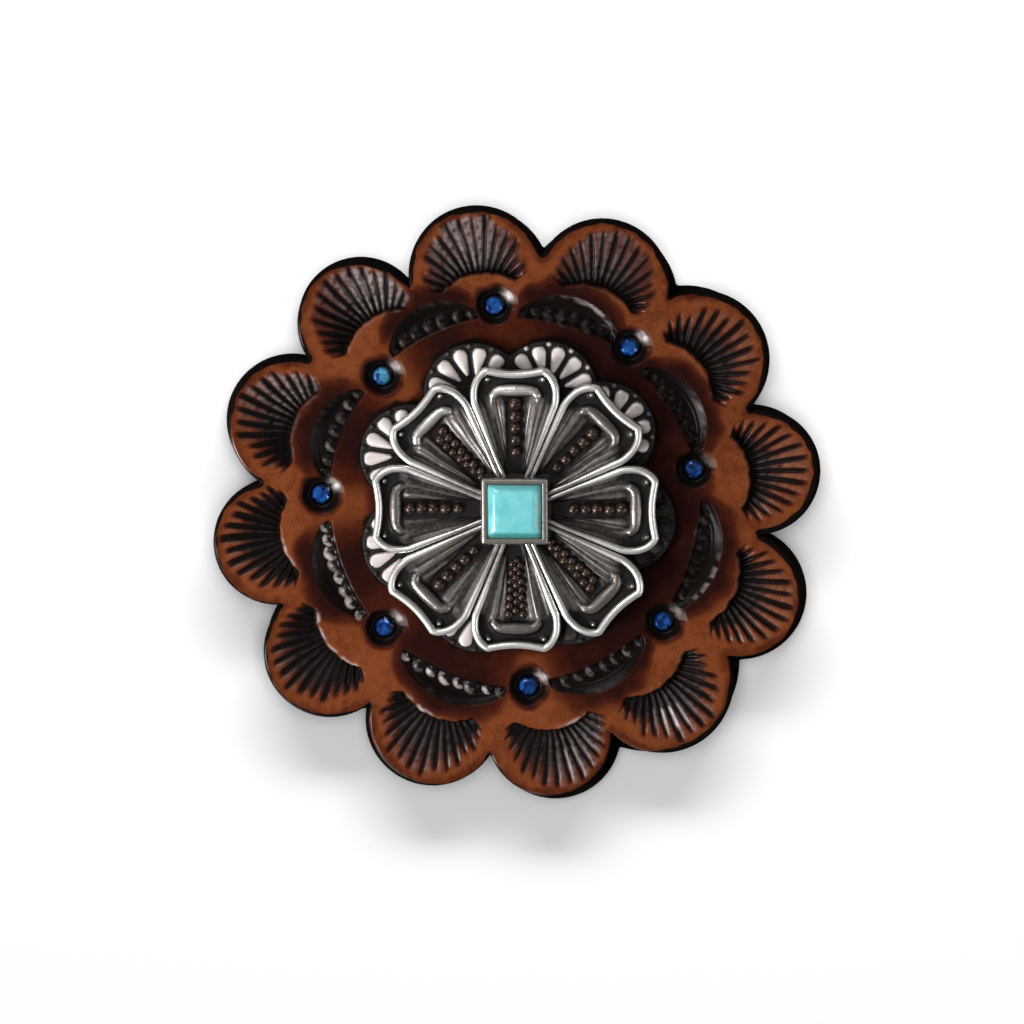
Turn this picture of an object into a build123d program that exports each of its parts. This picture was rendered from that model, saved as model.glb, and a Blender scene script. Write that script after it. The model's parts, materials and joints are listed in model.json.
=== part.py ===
from build123d import *
from collections import namedtuple
import math
import os

# A tooled leather rosette with a cast silver flower on a fan-edged plate, lying on its back.
# Sizes are in millimetres, angles in degrees. The back of the leather is z = 0, the front looks
# to +Z, and the origin is on the axis of the screw post. Angles run from +X towards +Y.

# Leather
tip_radius = 38.1
notch_depth = 6.2
backing_notch_depth = 5.1
backing_thickness = 1.8
leather_thickness = 2.4
edge_round = 0.6
notch_round = 0.4
layer_gap = 0.05
overcut = 1.0

# Ribbed shell stamped in each scallop
shell_margin = 8.7
shell_ray_start = 3.4
shell_radius = 6.9
shell_arch_radius = 7.1
shell_arch_top = 8.65
shell_half_angle = 72.0
shell_rib_angle = 9.0
shell_deep = 1.0
shell_shallow = 0.35
rib_height = 0.3
rib_end_share = 0.8

# Stamped crescent with a beaded inner edge
crescent_inset = 11.4
crescent_bulge = 3.6
crescent_width = 4.0
crescent_end_drop = 0.35
crescent_deep = 0.85
crescent_shallow = 0.12
pebble_pitch = 1.6
pebble_height = 0.65
pebble_sides = 4

# Blue stones in their pits
stone_circle_inset = 14.5
stone_radius = 1.4
stone_table_radius = 0.78
stone_crown_height = 0.5
stone_girdle_height = 0.08
stone_pavilion_height = 1.15
stone_middle_reach = 0.55
stone_middle_height = 0.52
pit_radius = 2.0
pit_depth = 0.85
pit_point_radius = 0.05
stone_gap = 0.05

# Cast plate with raised fans
plate_shift = 1.15
plate_shift_angle = 102.0
plate_inner_radius = 15.2
plate_thickness = 1.0
fan_circle_radius = 14.0
fan_radius = 6.3
fan_petal_start = 2.3
fan_petal_end = 5.7
fan_petal_width = 1.5
fan_petal_shoulder = 0.6
fan_petal_tail_width = 0.45
fan_petal_angle = 28.0
fan_petal_count = 5
fan_petal_height = 0.45
fan_bead_radius = 0.33
fan_bead_inset = 0.4
fuse_overlap = 0.2

# Cast flower
flower_radius = 18.2
petal_count = 8
petal_half_width = 5.55
petal_corner_half_width = 3.5
petal_tip_dip = 0.8
petal_corner_drop = 0.35
petal_wide_share = 0.815
petal_pinch_share = 0.69
petal_gap = 0.12
petal_neck = 3.6
petal_corner_inset = (1.15, 0.9)
petal_wide_inset = (0.2, 1.0)
petal_neck_inset = 1.2
shoulder_slant = 0.35
flank_slant = 0.55
petal_thickness = 0.9
petal_lift = 0.6
rim_width = 0.95
rim_height = 1.15
frame_inset = 1.75
frame_width = 0.65
frame_height = 0.6
petal_bead_count = 7
petal_bead_start = 5.9
petal_bead_pitch = 1.4
petal_bead_radius = 0.6
boss_radius = 9.0

# Square stone and its bezel
bezel_side = 8.2
bezel_wall = 0.5
bezel_height = 2.3
turquoise_gap = 0.05
turquoise_seat = 0.7
turquoise_girdle_height = 1.35
turquoise_crown_height = 0.95
turquoise_table_half = 2.35
turquoise_corner_cut = 0.45
turquoise_bevel = 0.35

# Hidden screw post
post_radius = 2.4
post_clearance = 0.15
post_recess = 0.2
post_head_overlap = 1.5
post_head_thickness = 0.75
bore_radius = 1.73
bore_depth = 5.0

# One row for each scallop, in order round the edge from +X. Turns are degrees off the even
# spacing. Reach, back_reach and stamp are shares of tip_radius: how far the top and the backing
# reach, and where the shell is stamped. Notches are shares of the two notch radii.
Scallop = namedtuple("Scallop", "turn reach notch_turn notch back_reach back_notch stamp")
first_scallop_angle = 9.0
scallops = [
    Scallop(-0.3, 0.995, -1.3, 0.975, 0.980, 0.960, 0.992),
    Scallop(-0.8, 0.990, -0.1, 1.005, 0.970, 1.015, 0.985),
    Scallop(-0.6, 0.990, 0.2, 0.980, 0.970, 0.965, 0.993),
    Scallop(0.8, 0.990, 1.9, 0.945, 0.975, 0.935, 0.996),
    Scallop(0.0, 0.985, 0.9, 0.990, 0.990, 0.950, 0.998),
    Scallop(0.8, 0.985, 1.2, 1.005, 1.000, 0.965, 1.000),
    Scallop(-0.8, 1.005, -0.4, 0.995, 1.000, 0.995, 1.006),
    Scallop(-1.8, 1.005, -0.2, 0.975, 0.990, 0.980, 1.003),
    Scallop(-0.4, 0.980, -0.3, 0.995, 1.000, 0.960, 0.980),
    Scallop(0.2, 0.970, -2.0, 0.970, 0.995, 1.010, 0.976),
    Scallop(-0.3, 0.985, 0.2, 1.010, 0.975, 1.025, 0.984),
    Scallop(-0.8, 0.990, -0.8, 0.950, 1.000, 0.930, 0.992),
]

# One row for each crescent: its angle, half its span, and its reach as a share of crescent_reach
Crescent = namedtuple("Crescent", "angle half_span reach")
crescents = [
    Crescent(31.5, 16.4, 0.987),
    Crescent(74.0, 16.2, 1.018),
    Crescent(115.4, 15.4, 1.036),
    Crescent(157.8, 15.4, 1.019),
    Crescent(201.0, 16.6, 1.007),
    Crescent(249.6, 17.6, 0.992),
    Crescent(296.4, 16.8, 0.967),
    Crescent(343.8, 18.2, 0.982),
]

# One row for each blue stone: its angle, and its distance as a share of stone_circle_radius
BlueStone = namedtuple("BlueStone", "angle distance")
blue_stones = [
    BlueStone(11.8, 0.950),
    BlueStone(54.8, 1.030),
    BlueStone(96.2, 1.066),
    BlueStone(136.1, 0.985),
    BlueStone(177.2, 1.038),
    BlueStone(223.0, 0.966),
    BlueStone(273.1, 0.972),
    BlueStone(321.1, 0.986),
]

# The angle of each fan about the plate's own centre
fan_angles = [36.4, 73.0, 110.5, 157.5, 205.0, 251.0, 299.0, 348.0]

# How far each petal reaches, from +X round towards +Y, as a share of flower_radius
petal_reaches = [1.0, 1.035, 1.0, 1.02, 1.0, 1.045, 1.005, 1.045]

# Radii that follow the outline's tips
notch_radius = tip_radius - notch_depth
backing_notch_radius = tip_radius - backing_notch_depth
crescent_reach = tip_radius - crescent_inset
stone_circle_radius = tip_radius - stone_circle_inset

# Levels
backing_top = backing_thickness
leather_bottom = backing_top + layer_gap
leather_top_level = leather_bottom + leather_thickness
plate_bottom = leather_top_level + layer_gap
plate_top = plate_bottom + plate_thickness
boss_bottom = plate_top + layer_gap
petal_bottom = boss_bottom + petal_lift
petal_top = petal_bottom + petal_thickness
bezel_top = petal_top + bezel_height
turquoise_bottom = petal_top + turquoise_seat
girdle_level = leather_top_level - pit_depth + stone_gap

# The post's head covers the plate's hole, which leaves room for the plate's shift
post_head_radius = post_radius + post_clearance + plate_shift + post_head_overlap


def polar(radius, angle, z=0.0):
    """The point at a radius and an angle."""
    return Vector(radius * math.cos(math.radians(angle)), radius * math.sin(math.radians(angle)), z)


def facet(*corners):
    """A flat face with the given corners."""
    return Face(Wire.make_polygon(corners))


def slab(face, low, high):
    """A face of the plane z = 0, made solid between two levels."""
    return Pos(0, 0, low) * extrude(face, amount=high - low)


def rosette(reaches, notches):
    """The scalloped outline: an arc over each tip, from one notch to the next."""
    step = 360 / len(scallops)
    tips = []
    gaps = []
    for number, row in enumerate(scallops):
        angle = first_scallop_angle + step * number
        tips.append(polar(reaches[number], angle + row.turn))
        gaps.append(polar(notches[number], angle + step / 2 + row.notch_turn))
    arcs = [ThreePointArc(gaps[number - 1], tips[number], gaps[number]) for number in range(len(tips))]
    outline = make_face(Wire(arcs))
    return fillet(outline.vertices(), notch_round)


def post_hole(low, high, shift=0.0):
    """The hole for the screw post through a layer."""
    hole = Cylinder(post_radius + post_clearance + shift, high - low + 2 * overcut)
    return Pos(0, 0, (low + high) / 2) * hole


def make_backing():
    """The plain black layer behind."""
    outline = rosette(
        [row.back_reach * tip_radius for row in scallops],
        [row.back_notch * backing_notch_radius for row in scallops],
    )
    layer = slab(outline, 0, backing_top)
    layer = chamfer(layer.faces().sort_by(Axis.Z)[0].edges(), edge_round / 2)
    return layer - post_hole(0, backing_top)


def pocket(inner, outer):
    """A faceted cutter: strips of floor between two rows of points, straight walls and a flat lid
    above the leather."""
    ring = inner + outer[::-1]
    lid = [Vector(point.X, point.Y, leather_top_level + overcut) for point in ring]
    faces = [facet(*lid)]
    for number in range(len(inner) - 1):
        faces.append(facet(inner[number], inner[number + 1], outer[number + 1]))
        faces.append(facet(inner[number], outer[number + 1], outer[number]))
    for number in range(len(ring)):
        faces.append(facet(ring[number - 1], ring[number], lid[number], lid[number - 1]))
    return Solid(Shell(faces))


def shell_cutter(row, number):
    """The ribbed shell of one scallop: ribs fan out from a point inside its arch, and the floor
    rises from the arch to the rim."""
    centre = row.stamp * tip_radius - shell_margin
    start = centre - shell_ray_start
    arch = row.stamp * tip_radius - shell_arch_top - shell_arch_radius
    count = 2 * round(shell_half_angle / shell_rib_angle) * 2
    inner = []
    outer = []
    for line in range(count + 1):
        angle = shell_half_angle * (2 * line / count - 1)
        rib = rib_height if line % 2 == 0 else 0.0
        along = math.cos(math.radians(angle))
        across = math.sin(math.radians(angle))
        for radius, base, depth, points in (
            (shell_arch_radius, arch, shell_deep, inner),
            (shell_radius, centre, shell_shallow, outer),
        ):
            off = start - base
            reach = -off * along + math.sqrt(radius**2 - (off * across) ** 2)
            level = leather_top_level - depth + rib * (1 if points is inner else rib_end_share)
            points.append(Vector(start + reach * along, reach * across, level))
    turn = first_scallop_angle + 360 / len(scallops) * number + row.turn
    return Rot(0, 0, turn) * pocket(inner, outer)


def crescent_cutter(row):
    """One crescent: the floor falls from the outer arch to a row of pebbles on the inner edge."""
    top = row.reach * crescent_reach
    end_across = stone_circle_radius * math.sin(math.radians(row.half_span))
    arch_radius = (end_across**2 + crescent_bulge**2) / (2 * crescent_bulge)
    pebbles = round(2 * end_across / pebble_pitch)
    count = pebbles * pebble_sides
    inner = []
    outer = []
    for line in range(count + 1):
        across = end_across * (2 * line / count - 1)
        arch = top - arch_radius + math.sqrt(arch_radius**2 - across**2)
        bump = pebble_height * abs(math.sin(math.pi * line / pebble_sides))
        curve = (across / end_across) ** 2
        edge = top - crescent_width - crescent_end_drop * curve
        inner.append(Vector(edge + bump * (1 - curve**3), across, leather_top_level - crescent_deep))
        outer.append(Vector(arch, across, leather_top_level - crescent_shallow))
    return Rot(0, 0, row.angle) * pocket(inner, outer)


def pit_cutter(row):
    """A blue stone's pit: sloping walls to a seat, and a cone for the stone's point."""
    place = polar(row.distance * stone_circle_radius, row.angle)
    seat = stone_radius + stone_gap
    point = stone_pavilion_height + 2 * stone_gap
    mouth = Pos(0, 0, leather_top_level - pit_depth / 2) * Cone(seat, pit_radius, pit_depth)
    socket = Pos(0, 0, leather_top_level - pit_depth - point / 2) * Cone(pit_point_radius, seat, point)
    return Pos(place.X, place.Y, 0) * (mouth + socket)


def make_leather_top():
    """The tooled layer with its shells, crescents and pits."""
    outline = rosette(
        [row.reach * tip_radius for row in scallops],
        [row.notch * notch_radius for row in scallops],
    )
    layer = slab(outline, leather_bottom, leather_top_level)
    layer = fillet(layer.faces().sort_by(Axis.Z)[-1].edges(), edge_round)
    cutters = [post_hole(leather_bottom, leather_top_level)]
    cutters += [shell_cutter(row, number) for number, row in enumerate(scallops)]
    cutters += [crescent_cutter(row) for row in crescents]
    cutters += [pit_cutter(row) for row in blue_stones]
    return layer - cutters


def make_blue_stone(row):
    """A round brilliant: an octagonal table, stars, kites and halves, a girdle and a point."""
    girdle_top = stone_girdle_height
    table_level = girdle_top + stone_crown_height
    half = 360 / 16
    table = [polar(stone_table_radius, half * 2 * k, table_level) for k in range(8)]
    middle_radius = stone_table_radius + stone_middle_reach * (stone_radius - stone_table_radius)
    middle_level = girdle_top + stone_middle_height * stone_crown_height
    middle = [polar(middle_radius, half * (2 * k + 1), middle_level) for k in range(8)]
    upper = [polar(stone_radius, half * k, girdle_top) for k in range(16)]
    lower = [polar(stone_radius, half * k, 0) for k in range(16)]
    point = Vector(0, 0, -stone_pavilion_height)
    faces = [facet(*table)]
    for k in range(8):
        after = (k + 1) % 8
        faces.append(facet(table[k], middle[k], table[after]))
        faces.append(facet(table[k], middle[k - 1], upper[2 * k]))
        faces.append(facet(table[k], upper[2 * k], middle[k]))
        faces.append(facet(middle[k], upper[2 * k], upper[2 * k + 1]))
        faces.append(facet(middle[k], upper[2 * k + 1], upper[(2 * k + 2) % 16]))
    for k in range(16):
        faces.append(facet(upper[k - 1], upper[k], lower[k], lower[k - 1]))
        faces.append(facet(lower[k - 1], lower[k], point))
    place = polar(row.distance * stone_circle_radius, row.angle)
    return Pos(place.X, place.Y, girdle_level) * Solid(Shell(faces))


def fan_petal(angle):
    """One teardrop of a fan, with its narrow end towards the fan's point."""
    half = fan_petal_width / 2
    shoulder = fan_petal_end - fan_petal_shoulder
    tail = fan_petal_tail_width / 2
    outline = Wire([
        Line((fan_petal_start, -tail), (shoulder, -half)),
        ThreePointArc((shoulder, -half), (fan_petal_end, 0), (shoulder, half)),
        Line((shoulder, half), (fan_petal_start, tail)),
        Line((fan_petal_start, tail), (fan_petal_start, -tail)),
    ])
    return Rot(0, 0, angle) * make_face(outline)


def make_base_plate():
    """The cast plate, a little off centre, with its fans of teardrops and small beads raised."""
    ground = Circle(plate_inner_radius)
    petals = []
    beads = []
    spread = [fan_petal_angle * (k - (fan_petal_count - 1) / 2) for k in range(fan_petal_count)]
    for angle in fan_angles:
        place = Rot(0, 0, angle) * Pos(fan_circle_radius, 0, 0)
        ground += place * Circle(fan_radius)
        petals += [place * fan_petal(turn) for turn in spread]
        for turn in spread[:-1]:
            bead = polar(fan_radius - fan_bead_inset, turn + fan_petal_angle / 2)
            beads.append(place * Pos(bead.X, bead.Y, plate_top) * Sphere(fan_bead_radius))
    plate = slab(ground, plate_bottom, plate_top)
    raised = [slab(petal, plate_top - fuse_overlap, plate_top + fan_petal_height) for petal in petals]
    plate = plate.fuse(*raised, *beads) - post_hole(plate_bottom, plate_top, plate_shift)
    place = polar(plate_shift, plate_shift_angle)
    return Pos(place.X, place.Y, 0) * plate


def petal_outline(radius, inset=0.0):
    """One petal along +X, drawn in by an inset: a dipped tip, two corners, round shoulders and
    straight sides to the neck."""
    neck = petal_neck + petal_neck_inset * inset
    pinch_at = petal_pinch_share * radius
    slope = math.tan(math.radians(180 / petal_count))
    tip = radius - petal_tip_dip - inset
    corner = (
        radius - petal_corner_drop - petal_corner_inset[0] * inset,
        petal_corner_half_width - petal_corner_inset[1] * inset,
    )
    wide = (
        petal_wide_share * radius - petal_wide_inset[0] * inset,
        petal_half_width - petal_wide_inset[1] * inset,
    )
    pinch = (pinch_at, petal_pinch_share * flower_radius * slope - petal_gap - inset)
    root = (neck, neck * slope - petal_gap - inset)
    edges = [
        ThreePointArc((corner[0], -corner[1]), (tip, 0), corner),
        Line(root, (root[0], -root[1])),
    ]
    for side in (1, -1):
        points = [(x, side * y) for x, y in (corner, wide, pinch, root)]
        edges.append(Spline(points[:3], tangents=[(shoulder_slant, side), (-1, -flank_slant * side)]))
        edges.append(Line(points[2], points[3]))
    return make_face(Wire(edges))


def make_petal(radius):
    """One petal along +X: a floor with a rim wire, an inner frame and a row of beads."""
    rim = petal_outline(radius) - petal_outline(radius, rim_width)
    frame = petal_outline(radius, frame_inset) - petal_outline(radius, frame_inset + frame_width)
    pieces = [slab(petal_outline(radius), petal_bottom, petal_top)]
    pieces.append(slab(rim, petal_bottom, petal_top + rim_height))
    pieces.append(slab(frame, petal_bottom, petal_top + frame_height))
    for k in range(petal_bead_count):
        place = petal_bead_start + petal_bead_pitch * k
        pieces.append(Pos(place, 0, petal_top) * Sphere(petal_bead_radius))
    return pieces[0].fuse(*pieces[1:])


def make_flower():
    """Eight petals on a boss, with the square bezel."""
    parts = [slab(Circle(boss_radius), boss_bottom, petal_top)]
    for number, reach in enumerate(petal_reaches):
        parts.append(Rot(0, 0, 360 / petal_count * number) * make_petal(reach * flower_radius))
    bezel = Box(bezel_side, bezel_side, bezel_top - petal_bottom)
    parts.append(Pos(0, 0, (petal_bottom + bezel_top) / 2) * bezel)
    flower = parts[0].fuse(*parts[1:])
    inside = bezel_side - 2 * bezel_wall
    cup = Pos(0, 0, turquoise_bottom + bezel_height) * Box(inside, inside, 2 * bezel_height)
    head = post_head_thickness + layer_gap
    socket = Pos(0, 0, boss_bottom + head / 2) * Cylinder(post_head_radius + post_clearance, head)
    return flower - cup - socket


def make_turquoise():
    """The square stone: a straight girdle, sloping facets with cut corners and a small table."""
    half = bezel_side / 2 - bezel_wall - turquoise_gap
    bottom = turquoise_bottom + turquoise_gap
    crown = bottom + turquoise_girdle_height
    levels = [
        (half, bottom),
        (half, crown),
        (half - turquoise_bevel, crown + turquoise_bevel),
        (turquoise_table_half, crown + turquoise_crown_height),
    ]
    rings = []
    for reach, level in levels:
        cut = reach - turquoise_corner_cut * reach / half
        corners = [(reach, -cut), (reach, cut), (cut, reach), (-cut, reach)]
        corners += [(-x, -y) for x, y in corners]
        rings.append([Vector(x, y, level) for x, y in corners])
    faces = [facet(*rings[0]), facet(*rings[-1])]
    for low, high in zip(rings, rings[1:]):
        for k in range(len(low)):
            faces.append(facet(low[k - 1], low[k], high[k], high[k - 1]))
    return Solid(Shell(faces))


def make_screw_post():
    """The hidden post: a head between plate and flower, and a barrel threaded from behind."""
    head_bottom = boss_bottom
    barrel = Pos(0, 0, (post_recess + head_bottom) / 2) * Cylinder(post_radius, head_bottom - post_recess)
    head = Pos(0, 0, head_bottom + post_head_thickness / 2) * Cylinder(post_head_radius, post_head_thickness)
    bore = Pos(0, 0, post_recess + (bore_depth - overcut) / 2) * Cylinder(bore_radius, bore_depth + overcut)
    return barrel + head - bore


nodes = {
    "leather_backing": make_backing(),
    "leather_top": make_leather_top(),
    "base_plate": make_base_plate(),
    "silver_flower": make_flower(),
    "turquoise": make_turquoise(),
    "screw_post": make_screw_post(),
}
for number, row in enumerate(blue_stones, 1):
    nodes[f"rhinestone_{number}"] = make_blue_stone(row)

os.makedirs("parts", exist_ok=True)
for name, shape in nodes.items():
    export_step(shape, f"parts/{name}.step")
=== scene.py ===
import json
import math

import bpy
import numpy as np
from mathutils import Matrix, Vector

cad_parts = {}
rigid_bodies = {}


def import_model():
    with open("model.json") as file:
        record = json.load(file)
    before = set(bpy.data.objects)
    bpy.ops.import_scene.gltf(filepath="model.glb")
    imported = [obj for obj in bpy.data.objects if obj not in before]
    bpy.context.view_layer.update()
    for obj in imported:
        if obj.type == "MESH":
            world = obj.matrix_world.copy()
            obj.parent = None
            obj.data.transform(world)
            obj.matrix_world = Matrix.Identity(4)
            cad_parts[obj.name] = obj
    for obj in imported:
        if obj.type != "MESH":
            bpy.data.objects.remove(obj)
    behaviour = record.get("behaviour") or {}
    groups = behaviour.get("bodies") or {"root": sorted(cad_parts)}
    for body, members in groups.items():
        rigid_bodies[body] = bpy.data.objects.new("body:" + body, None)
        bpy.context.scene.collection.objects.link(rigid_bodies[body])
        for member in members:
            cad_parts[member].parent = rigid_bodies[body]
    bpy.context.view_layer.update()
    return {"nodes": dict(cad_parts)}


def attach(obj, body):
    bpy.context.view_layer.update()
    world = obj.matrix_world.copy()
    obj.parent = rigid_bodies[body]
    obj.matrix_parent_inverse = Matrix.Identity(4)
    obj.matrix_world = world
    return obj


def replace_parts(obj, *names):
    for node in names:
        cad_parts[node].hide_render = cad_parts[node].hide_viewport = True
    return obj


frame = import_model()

# Sizes are in millimetres and angles in degrees, as in the CAD model; meshes are written in metres.
# Angles run from +X towards +Y, and the front of the concho looks to +Z.
mm = 0.001
farOff = 99.0  # a distance that nothing on the concho reaches


def unit(value):
    # held between 0 and 1
    return np.clip(value, 0, 1)


def smooth(low, high, value):
    # 0 at the first level and 1 at the second, with soft ends
    t = unit((value - low) / (high - low))
    return t * t * (3 - 2 * t)


def bell(value, width):
    return np.exp(-((value / width) ** 2))


def roundTop(value, width, power=1.3):
    # a rounded ridge, 1 in the middle and 0 from the given distance on; a low power makes it broad
    return unit(np.cos(unit(np.abs(value) / width) * math.pi / 2)) ** power


def turned(x, y, angle):
    # the same points in axes turned by an angle
    c, s = math.cos(math.radians(angle)), math.sin(math.radians(angle))
    return x * c + y * s, y * c - x * s


def polar(radius, angle):
    return radius * np.cos(np.radians(angle)), radius * np.sin(np.radians(angle))


def apart(angle, other):
    # how far an angle lies past another one, -180 to 180
    return (angle - other + 180) % 360 - 180


def around(count):
    return np.arange(count) * 360 / count


def wobble(x, y, size, seed):
    # a smooth uneven field, about -1 to 1, made of a few sine waves in seeded directions
    source = np.random.default_rng(seed)
    total = np.zeros_like(x)
    for _ in range(7):
        heading, phase = source.uniform(0, 2 * math.pi, 2)
        wave = size * source.uniform(0.6, 1.7)
        total += np.sin((x * math.cos(heading) + y * math.sin(heading)) * 2 * math.pi / wave + phase)
    return total / 3.5


def atLevel(flat, level):
    # flat points lifted to a level, one for all or one for each
    return np.column_stack([flat, np.broadcast_to(level, len(flat))])


def ring(radius, angles, level):
    # a closed ring of points, with one radius and level or one for each angle
    return atLevel(np.stack(polar(radius, angles), -1), level)


def circleReach(angles, centre, radius):
    # how far from the middle a circle reaches at each angle, 0 where it doesn't
    cx, cy = centre
    along = cx * np.cos(np.radians(angles)) + cy * np.sin(np.radians(angles))
    inside = along**2 - cx**2 - cy**2 + radius**2
    return np.where((inside > 0) & (along > 0), along + np.sqrt(np.maximum(inside, 0)), 0)


def blended(reaches, blend, level):
    # the farthest of several reaches, softened where they meet: a lower blend rounds more
    total = sum(np.exp(blend * (reach - level)) * (reach > 0) for reach in reaches)
    return level + np.log(total) / blend


def mark(field, key, value):
    # the stronger mark wins where two overlap
    field[key] = np.maximum(field[key], value)


def gridNormals(points, closed):
    # smooth normals of a whole grid, worked out before it is cut in pieces
    along = np.gradient(points, axis=0)
    if closed:
        across = (np.roll(points, -1, 1) - np.roll(points, 1, 1)) / 2
    else:
        across = np.gradient(points, axis=1)
    normal = np.cross(along, across)
    return normal / np.maximum(np.linalg.norm(normal, axis=2, keepdims=True), 1e-12)


def addObject(name, data):
    made = bpy.data.objects.new(name, data)
    bpy.context.scene.collection.objects.link(made)
    return made


class Sheets:
    # gathers grids of points with their masks, then writes them as one mesh

    def __init__(self, name):
        self.name, self.count, self.masks = name, 0, {}
        self.points, self.quads, self.normals = [], [], []

    def add(self, points, closed=True, normals=None, **masks):
        rows, columns = points.shape[:2]
        index = np.arange(rows * columns).reshape(rows, columns) + self.count
        following = np.roll(index, -1, 1) if closed else index[:, 1:]
        current = index if closed else index[:, :-1]
        quads = np.stack([current[:-1], current[1:], following[1:], following[:-1]], -1).reshape(-1, 4)
        if normals is None:
            normals = gridNormals(points, closed)
        level = points[..., 2]
        high = level >= level.max() - 0.35 * (level.max() - level.min())
        if normals[high][:, 2].sum() < 0:  # the upper part of every sheet looks up
            quads, normals = quads[:, ::-1], -normals
        self.points.append(points.reshape(-1, 3))
        self.quads.append(quads)
        self.normals.append(normals.reshape(-1, 3))
        for key, value in masks.items():
            values = np.broadcast_to(value, (rows, columns)).reshape(-1)
            self.masks.setdefault(key, []).append(values)
        self.count += rows * columns

    def build(self, shader, slot, ownNormals=False):
        points = np.concatenate(self.points) * mm
        quads = np.concatenate(self.quads)
        mesh = bpy.data.meshes.new(self.name)
        mesh.from_pydata(points, [], quads.tolist(), shade_flat=False)
        mesh.validate()
        for key, parts in self.masks.items():
            layer = mesh.attributes.new(key, "FLOAT", "POINT")
            layer.data.foreach_set("value", np.concatenate(parts).astype(np.float32))
        if ownNormals:
            mesh.normals_split_custom_set_from_vertices(np.concatenate(self.normals).tolist())
        mesh.materials.append(shader.material)
        piece = addObject(self.name, mesh)
        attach(piece, "root")
        print(f"  {self.name}: {len(quads) * 2} triangles")
        return piece


class Socket:
    # one output of a shader node, so that sums and products of masks read as plain expressions

    def __init__(self, shader, socket):
        self.shader, self.socket = shader, socket

    def maths(self, operation, first, second):
        return self.shader.node("ShaderNodeMath", {"operation": operation}, {0: first, 1: second})

    def __add__(self, other):
        return self.maths("ADD", self, other)

    __radd__ = __add__

    def __sub__(self, other):
        return self.maths("SUBTRACT", self, other)

    def __rsub__(self, other):
        return self.maths("SUBTRACT", other, self)

    def __mul__(self, other):
        return self.maths("MULTIPLY", self, other)

    def between(self, low, high):
        values = {"From Min": low, "From Max": high, "Value": self}
        return self.shader.node("ShaderNodeMapRange", {"interpolation_type": "SMOOTHSTEP"}, values)


class Shader:
    def __init__(self, name):
        self.material = bpy.data.materials.new(name)
        self.material.use_nodes = True
        self.tree = self.material.node_tree
        self.surface = self.tree.nodes["Principled BSDF"]
        self.place = self.node("ShaderNodeTexCoord", output="Object")

    def node(self, kind, settings=None, values=None, output=0):
        made = self.tree.nodes.new(kind)
        for key, value in (settings or {}).items():
            setattr(made, key, value)
        for key, value in (values or {}).items():
            self.feed(made.inputs[key], value)
        return Socket(self, made.outputs[output])

    def feed(self, socket, value):
        if isinstance(value, Socket):
            self.tree.links.new(value.socket, socket)
        else:
            socket.default_value = value

    def set(self, **values):
        for key, value in values.items():
            self.feed(self.surface.inputs[key.replace("_", " ")], value)

    def mask(self, name):
        return self.node("ShaderNodeAttribute", {"attribute_name": name}, output="Fac")

    def noise(self, size, detail=3.0, roughness=0.55, distortion=0.0):
        # size is the width of the largest spots in millimetres
        values = {"Vector": self.place, "Scale": 1000 / size}
        values.update({"Detail": detail, "Roughness": roughness, "Distortion": distortion})
        return self.node("ShaderNodeTexNoise", {}, values)

    def cells(self, size, feature="F1", output=0):
        values = {"Vector": self.place, "Scale": 1000 / size}
        return self.node("ShaderNodeTexVoronoi", {"feature": feature}, values, output)

    def distance(self, centre):
        # distance from a point, in millimetres
        values = {0: self.place, 1: [value * mm for value in centre]}
        settings = {"operation": "DISTANCE"}
        return self.node("ShaderNodeVectorMath", settings, values, output="Value") * 1000

    def colours(self, factor, first, second):
        values = {0: factor, 6: first, 7: second}
        return self.node("ShaderNodeMix", {"data_type": "RGBA"}, values, output=2)

    def bump(self, height, depth):
        # depth in millimetres
        self.set(Normal=self.node("ShaderNodeBump", {}, {"Height": height, "Distance": depth * mm}))


def colour(red, green, blue):
    return (red, green, blue, 1.0)


leatherFinish = {
    "tan": colour(0.118, 0.0275, 0.0092),
    "tanPale": colour(0.262, 0.0700, 0.0220),
    "redBrown": colour(0.062, 0.0120, 0.0058),
    "darkBrown": colour(0.0210, 0.0054, 0.0040),
    "dye": colour(0.0070, 0.0048, 0.0042),
    # pale pink of the painted highlights
    "paintedHighlight": colour(0.78, 0.66, 0.64),
    "roughness": 0.46,
    "grain": 0.06,
}


def tooledLeather():
    f = leatherFinish
    s = Shader("tooledLeather")
    dye, stain, paintedHighlight, polish = [s.mask(name) for name in ("dye", "stain", "paintedHighlight", "polish")]
    broad = s.noise(5.5, 3.0)
    patches = s.noise(1.3, 4.0, 0.6)
    pores = s.noise(0.30, 3.0, 0.65)
    mottled = (patches * 0.5 + broad * 0.5 + pores * 0.5).between(0.52, 0.98)
    tan = s.colours(mottled, f["tan"], f["tanPale"])
    soaked = stain + 0.06 + (patches - 0.5) * 0.50 + (pores - 0.5) * 0.45 + (broad - 0.5) * 0.60
    brown = s.colours(soaked.between(0.05, 0.62), tan, f["redBrown"])
    brown = s.colours(soaked.between(0.55, 1.05), brown, f["darkBrown"])
    blackened = dye + (pores - 0.5) * 0.22 + (patches - 0.5) * 0.22
    dyed = s.colours(blackened.between(0.22, 0.74), brown, f["dye"])
    highlightBreakup = (patches * 0.6 + pores * 0.4).between(0.25, 0.75)
    # painted highlights: the highlight mask lays a pale pink over the leather, broken up in spots
    s.set(Base_Color=s.colours(paintedHighlight * (highlightBreakup * 0.7 + 0.3), dyed, f["paintedHighlight"]))
    worn = f["roughness"] + (pores - 0.5) * 0.22 + (patches - 0.5) * 0.16 - polish * 0.12
    s.set(Roughness=worn, Coat_Weight=polish, Coat_Roughness=0.25, Specular_IOR_Level=0.0)
    creases = s.cells(0.55, "DISTANCE_TO_EDGE").between(0.0, 0.12)
    s.bump(pores * 0.7 + creases * 0.25 + patches * 0.5, f["grain"])
    return s


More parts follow.
